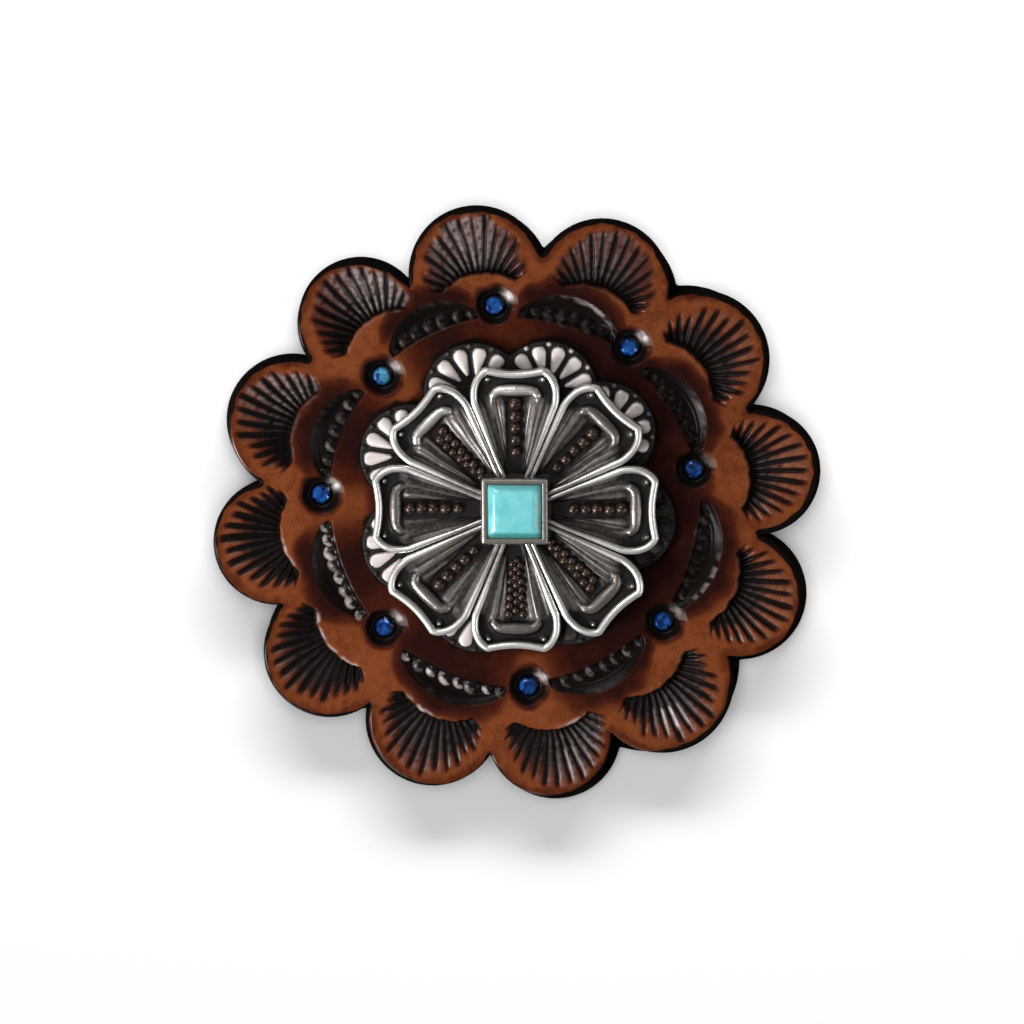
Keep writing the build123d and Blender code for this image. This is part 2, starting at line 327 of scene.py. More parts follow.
backFinish = {
    "dye": colour(0.0042, 0.0036, 0.0033),
    "dyePale": colour(0.0090, 0.0072, 0.0062),
    "flesh": colour(0.014, 0.0115, 0.010),
    "fleshPale": colour(0.046, 0.038, 0.033),
    "roughness": 0.5,
    "grain": 0.05,
}


def blackLeather():
    f = backFinish
    s = Shader("blackLeather")
    fibres = s.noise(0.22, 5.0, 0.7, 0.6)
    patches = s.noise(3.5, 3.0)
    smoothSide = s.colours(patches.between(0.3, 0.75), f["dye"], f["dyePale"])
    nap = (fibres * 0.7 + patches * 0.3).between(0.3, 0.7)
    fleshSide = s.colours(nap, f["flesh"], f["fleshPale"])
    s.set(Base_Color=s.colours(s.mask("flesh"), smoothSide, fleshSide))
    s.set(Roughness=f["roughness"] + (fibres - 0.5) * 0.3, Specular_IOR_Level=0.0)
    s.bump(fibres + patches * 0.4, f["grain"])
    return s


silverFinish = {
    "bright": colour(0.88, 0.86, 0.825),
    "grey": colour(0.22, 0.20, 0.182),
    "black": colour(0.0065, 0.0046, 0.0040),
    "metallic": 0.90,
    "roughness": 0.31,
}
plateFinish = {**silverFinish, "bright": colour(0.70, 0.62, 0.60), "metallic": 0.30, "roughness": 0.42}


def antiqueSilver(name, f):
    s = Shader(name)
    tarnish = s.mask("tarnish")
    spots = s.noise(0.6, 4.0, 0.6)
    fine = s.noise(0.16, 2.0)
    depth = tarnish + (spots - 0.5) * 0.30
    lighter = s.colours(depth.between(0.0, 0.55), f["bright"], f["grey"])
    s.set(Base_Color=s.colours(depth.between(0.5, 0.95), lighter, f["black"]))
    blackness = depth.between(0.45, 0.95)
    metallic = f["metallic"] - blackness * 0.75 * f["metallic"]
    rough = f["roughness"] + (fine - 0.5) * 0.12 + blackness * 0.14
    s.set(Metallic=metallic, Roughness=rough, Specular_IOR_Level=0.25)
    s.bump(fine * 0.4 + spots, 0.022)
    return s


beadFinish = {
    "dark": colour(0.030, 0.018, 0.014),
    "worn": colour(0.11, 0.070, 0.055),
    "metallic": 0.6,
    "roughness": 0.28,
}


def darkBeads():
    f = beadFinish
    s = Shader("darkBeads")
    spots = s.noise(0.5, 3.0)
    s.set(Base_Color=s.colours(spots.between(0.35, 0.7), f["dark"], f["worn"]))
    s.set(Metallic=f["metallic"], Roughness=f["roughness"] + (spots - 0.5) * 0.15)
    return s


blueFinish = {
    "deep": colour(0.002, 0.018, 0.14),
    "light": colour(0.020, 0.19, 0.74),
    "paleDeep": colour(0.003, 0.09, 0.42),
    "paleLight": colour(0.18, 0.70, 1.0),
    "rim": colour(0.001, 0.003, 0.012),
    "facet": 0.60,
    "metallic": 0.55,
    "roughness": 0.12,
    "paleStone": 4,
}


def blueStone(number, centre):
    f = blueFinish
    s = Shader(f"blueStone{number}")
    deep, light = f["deep"], f["light"]
    if number == f["paleStone"]:
        deep, light = f["paleDeep"], f["paleLight"]
    # painted glints: random cells and spots of light blue over the deep blue stand in for facet
    # reflections
    facets = s.cells(f["facet"], output="Color")
    paintedGlints = s.noise(0.35, 2.0)
    mixed = s.colours((facets * 0.9 + paintedGlints * 0.6).between(0.45, 1.15), deep, light)
    # painted shade: the stone turns nearly black towards its rim in the pit
    rim = s.distance(centre).between(0.75, 1.25)
    s.set(Base_Color=s.colours(rim, mixed, f["rim"]))
    s.set(Metallic=f["metallic"], Roughness=f["roughness"], Coat_Weight=1.0, Coat_Roughness=0.03)
    return s


turquoiseFinish = {
    "base": colour(0.11, 0.47, 0.49),
    "cloud": colour(0.20, 0.62, 0.64),
    "shaded": colour(0.035, 0.20, 0.185),
    "roughness": 0.25,
}


def turquoiseStone():
    f = turquoiseFinish
    s = Shader("turquoiseStone")
    clouds = s.noise(3.2, 3.0, 0.5, 0.5)
    mixed = s.colours(clouds.between(0.3, 0.75), f["base"], f["cloud"])
    # painted shade: the deep mask darkens the stone towards its bottom edge and its right side
    s.set(Base_Color=s.colours(s.mask("deep"), mixed, f["shaded"]))
    s.set(Roughness=f["roughness"], Coat_Weight=0.8, Coat_Roughness=0.10)
    s.bump(s.noise(1.6, 2.0), 0.02)
    return s


steelFinish = {"metal": colour(0.62, 0.60, 0.57), "roughness": 0.28}


def nickelSteel():
    f = steelFinish
    s = Shader("nickelSteel")
    streaks = s.noise(0.5, 4.0)
    s.set(Base_Color=f["metal"], Metallic=1.0, Roughness=f["roughness"] + streaks * 0.15)
    return s


rosette = {
    "tipRadius": 38.1,
    "topNotch": 31.9,
    "backNotch": 33.0,
    "firstAngle": 9.0,
    "backTop": 1.8,
    "topUnder": 1.85,
    "topLevel": 4.25,
    "hole": 2.55,
    "edgeRound": 0.45,
    "dyedEdge": 0.42,
    "widerDye": 0.42,
    "wideDyeAngle": -8.0,
    "shinyEdgeAngle": 222.0,
    "notchBlend": 5.0,
    "ringRadius": 24.0,  # where the inner field meets the scallops
}

# one row for each scallop, as in the CAD model
scallopKeys = ("turn", "reach", "notchTurn", "notch", "backReach", "backNotch", "stamp")
scallopRows = [
    (-0.3, 0.995, -1.3, 0.975, 0.980, 0.960, 0.992),
    (-0.8, 0.990, -0.1, 1.005, 0.970, 1.015, 0.985),
    (-0.6, 0.990, 0.2, 0.980, 0.970, 0.965, 0.993),
    (0.8, 0.990, 1.9, 0.945, 0.975, 0.935, 0.996),
    (0.0, 0.985, 0.9, 0.990, 0.990, 0.950, 0.998),
    (0.8, 0.985, 1.2, 1.005, 1.000, 0.965, 1.000),
    (-0.8, 1.005, -0.4, 0.995, 1.000, 0.995, 1.006),
    (-1.8, 1.005, -0.2, 0.975, 0.990, 0.980, 1.003),
    (-0.4, 0.980, -0.3, 0.995, 1.000, 0.960, 0.980),
    (0.2, 0.970, -2.0, 0.970, 0.995, 1.010, 0.976),
    (-0.3, 0.985, 0.2, 1.010, 0.975, 1.025, 0.984),
    (-0.8, 0.990, -0.8, 0.950, 1.000, 0.930, 0.992),
]
scallops = [dict(zip(scallopKeys, row)) for row in scallopRows]
scallopStep = 360 / len(scallops)


def outlineRadius(angles, reachKey, notchKey, notchRadius):
    # how far the scalloped outline lies from the middle at each angle:
    # arcs over the tips, softened where they meet in the notches
    tips, gaps, reaches = [], [], []
    for number, row in enumerate(scallops):
        tipAngle = rosette["firstAngle"] + scallopStep * number + row["turn"]
        gapAngle = rosette["firstAngle"] + scallopStep * (number + 0.5) + row["notchTurn"]
        tips.append(polar(row[reachKey] * rosette["tipRadius"], tipAngle))
        gaps.append(polar(row[notchKey] * notchRadius, gapAngle))
    for number, tip in enumerate(tips):
        # the circle through one tip and the notches at its sides
        three = np.array([gaps[number - 1], tip, gaps[number]])
        centre = np.linalg.solve(2 * np.diff(three, axis=0), np.diff((three**2).sum(1)))
        reaches.append(circleReach(angles, centre, math.dist(centre, tip)))
    return blended(reaches, rosette["notchBlend"], rosette["tipRadius"])


shell = {
    "margin": 8.7,
    "rayStart": 3.4,
    "radius": 7.75,
    "squeeze": 1.20,
    "archRadius": 7.1,
    "archTop": 8.65,
    "halfAngle": 67.0,
    "ribAngle": 9.0,
    "floor": 0.85,
    "groove": 0.40,
}

# how each scallop was finished: how far out the black runs, how wide and how black the grooves are,
# how brown the ribs are, how deep the grooves are cut, how much painted highlight lies on the ribs and
# how far from the middle, in degrees, and the same for the painted highlight on the lip along the arch
scallopFinish = [
    (0.38, 0.52, 0.68, 0.02, 1.00, 0.12, 0, 0.05, 0),
    (0.50, 0.54, 0.70, 0.08, 1.00, 0.10, 0, 0.05, 0),
    (0.38, 0.48, 0.74, 0.52, 0.95, 0.24, 10, 0.05, 0),
    (0.34, 0.46, 0.80, 0.60, 1.05, 0.66, 4, 0.05, 0),
    (0.44, 0.54, 0.88, 0.56, 1.15, 0.95, -32, 0.10, 0),
    (0.52, 0.58, 0.90, 0.36, 1.10, 0.66, -38, 0.10, 0),
    (0.54, 0.64, 0.92, 0.16, 1.00, 0.05, 0, 0.90, 30),
    (0.64, 0.62, 0.88, 0.30, 0.85, 0.05, 0, 0.70, 0),
    (0.60, 0.52, 0.70, 0.30, 0.65, 0.14, 0, 1.00, -28),
    (0.60, 0.50, 0.70, 0.30, 0.70, 0.26, 22, 0.70, 40),
    (0.56, 0.54, 0.70, 0.18, 0.85, 0.18, 0, 0.05, 0),
    (0.40, 0.52, 0.68, 0.02, 1.00, 0.12, 0, 0.05, 0),
]

# strength and middle angle of the glints painted as highlights in the grooves of a few scallops, counted
# from 0
paintedShellGlints = {3: (0.9, 12), 4: (0.8, -20), 9: (1.4, 20), 10: (1.4, -16)}

# angle, half span, reach share: one row for each crescent, as in the CAD model;
# then how bright the painted highlight and the coat are on its outer lip and on its pebbles,
# and how far its stain has soaked out
crescentRows = [
    (31.5, 16.4, 0.987, 0.25, 0.05, 3.4),
    (74.0, 16.2, 1.018, 1.00, 0.05, 3.8),
    (115.4, 15.4, 1.036, 0.08, 0.08, 3.6),
    (157.8, 15.4, 1.019, 0.06, 0.20, 5.2),
    (201.0, 16.6, 1.007, 0.06, 0.75, 3.6),
    (249.6, 17.6, 0.992, 0.08, 0.75, 3.4),
    (296.4, 16.8, 0.967, 0.08, 0.15, 3.6),
    (343.8, 18.2, 0.982, 0.60, 0.05, 4.0),
]
crescent = {
    "reach": 26.7,
    "bulge": 3.6,
    "width": 3.7,
    "endDrop": 0.9,
    "pebblePitch": 1.7,
    "pebbleWidth": 0.98,
    "lightFrom": 215.0,
}

# angle, share of the stone circle's radius: one row for each blue stone, as in the CAD model
stoneRows = [
    (11.8, 0.950),
    (54.8, 1.030),
    (96.2, 1.066),
    (136.1, 0.985),
    (177.2, 1.038),
    (223.0, 0.966),
    (273.1, 0.972),
    (321.1, 0.986),
]
pits = {
    "circle": 23.6,
    "seat": 1.45,
    "mouth": 2.05,
    "depth": 0.85,
    "shineAngle": 38.0,
    "slopeEnd": 3.1,
    "shineEnd": 3.0,
}

# how bright the painted highlight on one side of each pit is
pitHighlight = [0.15, 0.9, 1.0, 0.5, 0.9, 0.6, 0.7, 0.35]

# angle and strength of the places where the tan still shows between the crescents
paleGaps = [(95, 0.5), (134, 1.0), (180, 1.0), (275, 1.0), (222, 0.4), (12, 0.25)]


def stampShells(x, y, field):
    c = shell
    for number, row in enumerate(scallops):
        darkShare, grooveShare, grooveDye, ribStain, relief, paintedHighlight, highlightSide, lipHighlight, lipSide = (
            scallopFinish[number]
        )
        u, v = turned(x, y, rosette["firstAngle"] + scallopStep * number + row["turn"])
        stamp = row["stamp"] * rosette["tipRadius"]
        centre, arch = stamp - c["margin"], stamp - c["archTop"] - c["archRadius"]
        start = centre - c["rayStart"]
        past = np.hypot(u - arch, v) - c["archRadius"] + 0.10 * wobble(x, y, 1.6, 30 + number)
        short = c["radius"] - np.hypot(u - centre, v * c["squeeze"])
        turn = np.degrees(np.arctan2(v, u - start)) + 0.7 * np.sin(u * 0.55 + number * 1.3)
        side = np.radians(c["halfAngle"] + 2.0 - np.abs(turn)) * np.hypot(u - start, v)
        near = (u > start - 1.0) & (np.abs(v) < 8.5)
        inside = smooth(0, 0.40, past) * smooth(0, 0.5, side) * near
        t = unit(past / np.maximum(past + short, 0.3))
        # every groove has its own width, depth and length
        ribs = turn / c["ribAngle"]
        count, phase = np.floor(ribs), ribs * 2 * math.pi
        uneven = 0.34 * np.sin(count * 2.3 + number * 1.9) + 0.22 * np.sin(count * 4.1 + number)
        wave = 0.5 - 0.5 * np.cos(phase)
        share = grooveShare + 0.07 * np.sin(count * 2.9 + number * 0.7) - 0.10 * t
        share = share - 0.08 * smooth(2.2, 0.2, short + uneven)
        cutOff = 0.5 - 0.5 * np.cos(math.pi * (1 - share))
        groove = smooth(cutOff - 0.42, cutOff + 0.26, wave)
        ends = smooth(-0.45, 0.95, short + uneven)
        fade = smooth(0.0, 1.6, short)
        floor = c["floor"] * (1 - smooth(0.0, 1.0, t * 1.15)) * fade
        pleat = (0.45 * groove + 0.55 * wave) * relief * (0.85 + 0.15 * np.sin(count * 5.3 + number))
        field["depth"] += inside * (floor + c["groove"] * pleat * ends * (1 - 0.30 * t))
        # black near the arch, dark bars running out between the ribs
        edge = darkShare - 0.08 * (1 - groove) + 0.05 * wobble(x, y, 1.5, 50 + number)
        black = smooth(edge + 0.18, edge - 0.12, t)
        bars = groove * ends
        deepest = bars * grooveDye * (0.72 + 0.34 * smooth(0.95, 0.40, t))
        mark(field, "dye", inside * np.maximum(black, deepest))
        worn = np.maximum(bars * 0.95, smooth(edge + 0.34 + 0.5 * ribStain, edge - 0.05, t))
        mark(field, "stain", inside * np.maximum(worn, ribStain * ends))
        # painted highlight on the rib tops, strongest towards one side of the scallop
        shine = paintedHighlight * bell(turn - highlightSide, 34) * smooth(0.04, 0.22, t) * smooth(-0.1, 0.7, short)
        flank = 0.5 - 0.5 * np.sin(phase)
        patchy = unit(0.75 + 0.55 * wobble(x, y, 1.1, 90))
        ribTop = (1 - groove) * (0.35 + 0.65 * flank)
        mark(field, "paintedHighlight", inside * shine * ribTop * patchy)
        # painted glints along one flank of some ribs
        strength, middle = paintedShellGlints.get(number, (0.0, 0.0))
        glint = strength * (0.55 + 0.45 * np.sin(count * 7.3 + number)) * bell(turn - middle, 16)
        glint = glint * bell(ribs - count - 0.72, 0.14)
        glint = glint * smooth(0.34, 0.44, t) * smooth(0.84, 0.66, t)
        mark(field, "paintedHighlight", inside * unit(glint))
        rubbed = smooth(edge - 0.15, edge + 0.25, t) * smooth(0.1, 0.6, short)
        mark(field, "polish", inside * 0.50 * ribTop * rubbed)
        # the lip of leather left standing round the arch, with a painted highlight along it
        lip = lipHighlight * bell(past + 0.05, 0.19) * smooth(0, 0.8, side) * near
        if lipSide:
            lip *= bell(turn - lipSide, 26)
        mark(field, "paintedHighlight", lip * unit(0.7 + 0.8 * wobble(x, y, 1.3, 91)))


def stampCrescents(x, y, field):
    c = crescent
    for number, (angle, halfSpan, reach, lipHighlight, pebbleShine, halo) in enumerate(crescentRows):
        u, v = turned(x, y, angle)
        top = reach * c["reach"]
        end = pits["circle"] * math.sin(math.radians(halfSpan))
        arch = (end**2 + c["bulge"] ** 2) / (2 * c["bulge"])
        outer = top - arch + np.sqrt(np.maximum(arch**2 - v**2, 0.01))
        span = v / end
        inner = top - c["width"] - c["endDrop"] * span**2
        down, up = outer - u, u - inner
        within = smooth(0, 0.6, end - np.abs(v)) * (u > 10)
        # pebbles along the inner edge, uneven in size and place
        pebbles = round(2 * end / c["pebblePitch"])
        source = np.random.default_rng(70 + number)
        lumps, facing = np.zeros_like(x), np.zeros_like(x)
        toU, toV = turned(*polar(1.0, c["lightFrom"]), angle)
        for k in range(pebbles):
            across = end * (2 * (k + 0.5) / pebbles - 1) + source.uniform(-0.15, 0.15)
            bottom = top - c["width"] - c["endDrop"] * (across / end) ** 2 + source.uniform(-0.1, 0.1)
            width = c["pebbleWidth"] * (1 - 0.45 * abs(across / end) ** 3) * source.uniform(0.85, 1.15)
            du, dv = (u - bottom - 0.75) / width, (v - across) / width
            dome = unit(1 - du**2 - dv**2) ** 0.8
            height = source.uniform(0.40, 0.62) * (0.65 + 0.35 * pebbleShine)
            lumps = np.maximum(lumps, height * dome)
            # painted highlight on the side of each pebble that faces the light
            lit = smooth(0.05, 0.55, du * toU + dv * toV + 0.30 * wobble(x, y, 0.9, 84))
            lit *= smooth(0.0, 0.25, dome)
            facing = np.maximum(facing, source.uniform(0.15, 1.3) * lit)
        bevel = 0.5 * np.clip(down, 0, 0.75) + 0.42 * smooth(0.75, 1.6, down)
        inside = smooth(-0.05, 0.10, down) * smooth(-0.15, 0.55, up) * within
        field["depth"] += inside * (0.05 + bevel - lumps * smooth(0.9, 1.5, down))
        dyed = smooth(0, 0.3, down) * smooth(-0.3, 0.4, up) * within
        mark(field, "dye", unit(dyed))
        near = smooth(halo, 0.2, np.maximum(-down, -up * 0.7) + 0.5 * wobble(x, y, 4, 40 + number))
        near *= smooth(-2.4, 0.3, end - np.abs(v)) * (u > 10)
        mark(field, "stain", near * 0.98)
        # painted highlights on the outer lip and on the lit side of the pebbles, with a coat there too
        ragged = unit(0.45 + 1.1 * wobble(x, y, 1.5, 80)) * bell(span + 0.30, 0.42)
        lip = lipHighlight * smooth(0.0, 0.12, down) * smooth(0.80, 0.40, down) * ragged
        mark(field, "paintedHighlight", within * np.maximum(0.55 * lip, pebbleShine * facing))
        shine = np.maximum(lip, 0.5 * pebbleShine * smooth(0.05, 0.3, lumps))
        mark(field, "polish", within * np.maximum(shine, 0.05 * inside))


def drillPits(x, y, field):
    for number, (angle, share) in enumerate(stoneRows):
        px, py = polar(share * pits["circle"], angle)
        q = np.hypot(x - px, y - py)
        mark(field, "depth", pits["depth"] * smooth(pits["mouth"] + 0.5, pits["seat"], q))
        soaked = q + 0.18 * wobble(x, y, 2.4, 96)
        mark(field, "dye", smooth(2.70, 1.80, soaked))
        mark(field, "stain", smooth(3.4, 2.0, soaked) * 0.9)
        # one side of the wall is cut to a broad slope, with a painted highlight on it
        side = apart(np.degrees(np.arctan2(y - py, x - px)), pits["shineAngle"])
        worn = bell(side, 40)
        slope = 0.46 * np.clip(pits["slopeEnd"] - q, 0, 1.6) * smooth(0.05, 0.5, worn)
        mark(field, "depth", slope * (q < pits["slopeEnd"]))
        shine = pitHighlight[number] * bell(side, 18) * smooth(2.85, 2.45, q) * smooth(1.35, 1.7, q)
        within = q < pits["shineEnd"]
        field["polish"] = np.where(within, shine, field["polish"])
        # painted highlight on that side of the wall, broken up in patches
        ragged = unit(0.75 + 0.5 * wobble(x, y, 1.0, 95))
        field["paintedHighlight"] = np.where(within, unit(1.2 * shine * ragged), field["paintedHighlight"])


def tooling(x, y, edge, band):
    # depth below the top of the leather, and the masks that its finish reads
    radius, heading = np.hypot(x, y), np.degrees(np.arctan2(y, x))
    field = {key: np.zeros_like(x) for key in ("depth", "dye", "stain", "paintedHighlight", "polish")}
    pale = np.zeros_like(x)
    for angle, strength in paleGaps:
        pale = np.maximum(pale, strength * bell(apart(heading, angle), 11))
    field["stain"] = smooth(25.6, 22.6, radius + 0.5 * wobble(x, y, 7, 3)) * 0.98
    # painted shade: the leather is darkened in a soft band round the fan plate's outline
    shiftX, shiftY = polar(plate["shift"], plate["shiftAngle"])
    fromPlate = np.full_like(x, farOff)
    for angle in fanAngles:
        px, py = polar(plate["fanCircle"], angle)
        fromFan = np.hypot(x - shiftX - px, y - shiftY - py) - plate["fanRadius"]
        fromPlate = np.minimum(fromPlate, fromFan)
    field["dye"] = 0.62 * smooth(0.9, 0.0, fromPlate + 0.25 * wobble(x, y, 2.5, 8))
    stampShells(x, y, field)
    stampCrescents(x, y, field)
    field["stain"] *= 1 - 0.92 * pale * smooth(17.0, 19.5, radius) * smooth(27.0, 25.5, radius)
    drillPits(x, y, field)
    ragged = edge + 0.10 * wobble(x, y, 2.2, 5) + 0.14 * wobble(x, y, 9, 6)
    mark(field, "dye", smooth(band + 0.24, band - 0.20, ragged))
    blotchy = edge + 0.40 * wobble(x, y, 3.5, 13) + 0.20 * wobble(x, y, 1.2, 14)
    mark(field, "stain", smooth(1.6, 0.3, blotchy) * 0.34)
    field["polish"] = np.maximum(field["polish"], 0.12) * smooth(0.45, 0.9, edge)
    roll = rosette["edgeRound"]
    curl = unit(1 - edge / roll)
    field["depth"] += roll * (1 - np.sqrt(1 - np.minimum(curl, 0.98) ** 2))
    field["depth"] += 0.05 * (1 - wobble(x, y, 8, 11)) * smooth(0.0, 2.0, edge)
    return field


def edgeDistance(x, y, ox, oy, window):
    # nearest distance to an outline that has one point for each column of the grid
    best = np.full_like(x, farOff)
    for shift in range(-window, window + 1):
        best = np.minimum(best, np.hypot(x - np.roll(ox, shift), y - np.roll(oy, shift)))
    return best


def makeTooledLeather():
    c = rosette
    columns = 1800
    angles = around(columns)
    outline = outlineRadius(angles, "reach", "notch", c["topNotch"])
    outX, outY = polar(outline, angles)
    start = c["ringRadius"]
    share = np.linspace(0, 1, 90)
    share = share + 0.10 * np.sin(np.pi * share) ** 2 * share  # closer rows towards the edge
    x, y = polar(start + (outline - start)[None, :] * share[:, None], angles)
    edge = edgeDistance(x, y, outX, outY, 34)
    standsOut = outlineRadius(angles, "backReach", "backNotch", c["backNotch"]) - outline
    band = c["dyedEdge"] + c["widerDye"] * bell(apart(angles, c["wideDyeAngle"]), 42)
    field = tooling(x, y, edge, np.clip(band - 0.6 * np.maximum(standsOut, 0), 0.1, band))
    # the edge is rubbed shiny where it faces down and to the left
    towardsX, towardsY = np.gradient(outY, edge_order=2), -np.gradient(outX, edge_order=2)
    litX, litY = polar(1.0, c["shinyEdgeAngle"])
    facing = (towardsX * litX + towardsY * litY) / np.hypot(towardsX, towardsY)
    patchy = unit(0.65 + 0.7 * wobble(outX, outY, 6.0, 12))
    shiny = 0.85 * smooth(0.55, 0.95, facing) * patchy
    mark(field, "polish", shiny * smooth(0.48, 0.30, edge))
    rows = [np.stack([x, y, c["topLevel"] - field["depth"]], -1)]
    last = rows[0][-1, :, 2]
    # the wall and a strip of the underside
    wall = [(0.02, 0.30), (0.06, 0.55), (0.05, 0.85), (-0.10, 0.97), (-0.45, 1.0), (-3.0, 1.0)]
    for out, down in wall:
        rows.append(ring(outline + out, angles, last + (c["topUnder"] - last) * down)[None])
    points = np.concatenate(rows)
    field.pop("depth")
    masks = {}
    for key, value in field.items():
        masks[key] = np.concatenate([value, np.repeat(value[-1:], len(wall), 0)])
    masks["dye"][-len(wall):] = 1.0
    masks["polish"][-len(wall):] = 0.6 * shiny
    normals = gridNormals(points, True)
    shader = tooledLeather()
    # the scallops are cut in three pieces, each from one angle on
    names = ("leatherScallopsTop", "leatherScallopsLeft", "leatherScallopsRight")
    for name, seam in zip(names, (24, 144, 264)):
        pick = (np.arange(columns // 3 + 1) + round(columns * seam / 360)) % columns
        sheet = Sheets(name)
        some = {key: value[:, pick] for key, value in masks.items()}
        sheet.add(points[:, pick], closed=False, normals=normals[:, pick], **some)
        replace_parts(sheet.build(shader, "tooled_leather", ownNormals=True), "leather_top")
    # the inner field, from the post's hole to the ring
    radii = np.concatenate([[c["hole"], c["hole"], 6.0, 9.5, 12.0], np.linspace(13.0, start, 70)])
    x, y = polar(radii[:, None], around(1260))
    field = tooling(x, y, np.full_like(x, farOff), c["dyedEdge"])
    z = c["topLevel"] - field.pop("depth")
    z[0] = c["topUnder"]
    points = np.stack([x, y, z], -1)
    sheet = Sheets("leatherField")
    sheet.add(points, normals=gridNormals(points, True), **field)
    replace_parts(sheet.build(shader, "tooled_leather", ownNormals=True), "leather_top")


def makeBackLayer():
    c = rosette
    angles = around(900)
    outline = outlineRadius(angles, "backReach", "backNotch", c["backNotch"])
    # how far out from the outline, and how far up the layer
    profile = [(-3.0, 1.0), (-0.25, 1.0), (-0.05, 0.93), (0.0, 0.75)]
    profile += [(0.04, 0.45), (0.0, 0.2), (-0.12, 0.05), (-0.35, 0.0)]
    rows = [ring(outline + out, angles, up * c["backTop"]) for out, up in profile]
    for share in np.linspace(0.93, 0.0, 14):
        rows.append(ring(c["hole"] + (outline - 0.35 - c["hole"]) * share, angles, 0.0))
    rows.append(ring(c["hole"], angles, c["backTop"]))
    # its rough flesh side lies below
    flesh = np.zeros((len(rows), len(angles)))
    flesh[len(profile):] = 1.0
    sheet = Sheets("backLayer")
    sheet.add(np.stack(rows), flesh=flesh)
    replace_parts(sheet.build(blackLeather(), "black_leather"), "leather_backing")


plate = {
    "shift": 1.15,
    "shiftAngle": 102.0,
    "inner": 15.2,
    "bottom": 4.30,
    "top": 5.30,
    "hole": 3.7,
    "fanCircle": 14.0,
    "fanRadius": 6.3,
    "dropStart": 2.3,
    "dropEnd": 5.75,
    "dropWidth": 1.88,
    "dropAngle": 28.0,
    "dropHeight": 0.5,
    "dotRadius": 0.36,
    "dotPlace": 5.95,
    "fanBlend": 4.0,
    "reliefStart": 10.5,
    "edgeRound": 0.14,
}
fanAngles = [36.4, 73.0, 110.5, 157.5, 205.0, 251.0, 299.0, 348.0]

# how much clean silver shows on each fan, and on its small balls; the fans and balls on the right side
# are darkened further as painted shade
fanCleanAndLit = [0.85, 1.0, 0.95, 1.0, 1.0, 0.95, 0.16, 0.10]
ballCleanAndLit = [0.30, 0.75, 0.22, 0.15, 0.15, 0.15, 0.05, 0.05]


def plateRelief(x, y):
    # height above the plate, and how clean and lit the metal is there, with painted shade on the right
    # side
    c = plate
    height, cleanAndLit = np.zeros_like(x), np.zeros_like(x)
    head = c["dropWidth"] / 2
    for number, angle in enumerate(fanAngles):
        fu, fv = turned(x, y, angle)
        fu = fu - c["fanCircle"]
        for k in range(5):
            turn = c["dropAngle"] * (k - 2)
            u, v = turned(fu, fv, turn)
            s = unit((u - c["dropStart"]) / (c["dropEnd"] - head - c["dropStart"]))
            blunt = unit(1 - unit((u - c["dropEnd"] + head) / head) ** 2.6) ** (1 / 2.6)
            half = head * (0.18 + 0.82 * s**0.8) * blunt
            body = unit(1 - (v / np.maximum(half, 0.02)) ** 2)
            body = body * (u > c["dropStart"]) * (u < c["dropEnd"])
            height = np.maximum(height, c["dropHeight"] * body**0.4)
            cleanAndLit = np.maximum(cleanAndLit, fanCleanAndLit[number] * smooth(0.02, 0.30, body))
            if k < 4:
                u, v = turned(fu, fv, turn + c["dropAngle"] / 2)
                q = np.hypot(u - c["dotPlace"], v) / c["dotRadius"]
                height = np.maximum(height, 0.34 * np.sqrt(unit(1 - q**2)))
                cleanAndLit = np.maximum(cleanAndLit, ballCleanAndLit[number] * smooth(1.0, 0.7, q))
    return height, cleanAndLit


def makeFanPlate():
    c = plate
    angles = around(1100)
    farthest = c["fanCircle"] + c["fanRadius"]
    reaches = [circleReach(angles, polar(c["fanCircle"], angle), c["fanRadius"]) for angle in fanAngles]
    reaches.append(np.full_like(angles, c["inner"]))
    outline = np.minimum(blended(reaches, c["fanBlend"], farthest), farthest)
    start = c["reliefStart"]
    radius = start + (outline - c["edgeRound"] - start)[None, :] * np.linspace(0, 1, 66)[:, None]
    bore = np.full_like(radius[:1], c["hole"])
    x, y = polar(np.concatenate([bore, bore + 0.1, radius]), angles)
    height, cleanAndLit = plateRelief(x, y)
    z = c["top"] + height
    z[0] = c["bottom"]
    rows = [np.stack([x, y, z], -1)]
    top, bottom = c["top"], c["bottom"]
    wall = [(-0.05, top - 0.06), (0.0, top - 0.2), (0.0, bottom + 0.15), (-0.15, bottom), (-2.5, bottom)]
    for out, level in wall:
        rows.append(ring(outline + out, angles, level)[None])
    points = np.concatenate(rows) + np.array([*polar(c["shift"], c["shiftAngle"]), 0])
    tarnish = np.ones(points.shape[:2])
    tarnish[: len(height)] = 1 - cleanAndLit
    sheet = Sheets("fanPlate")
    sheet.add(points, tarnish=tarnish)
    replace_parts(sheet.build(antiqueSilver("plateSilver", plateFinish), "silver"), "base_plate")


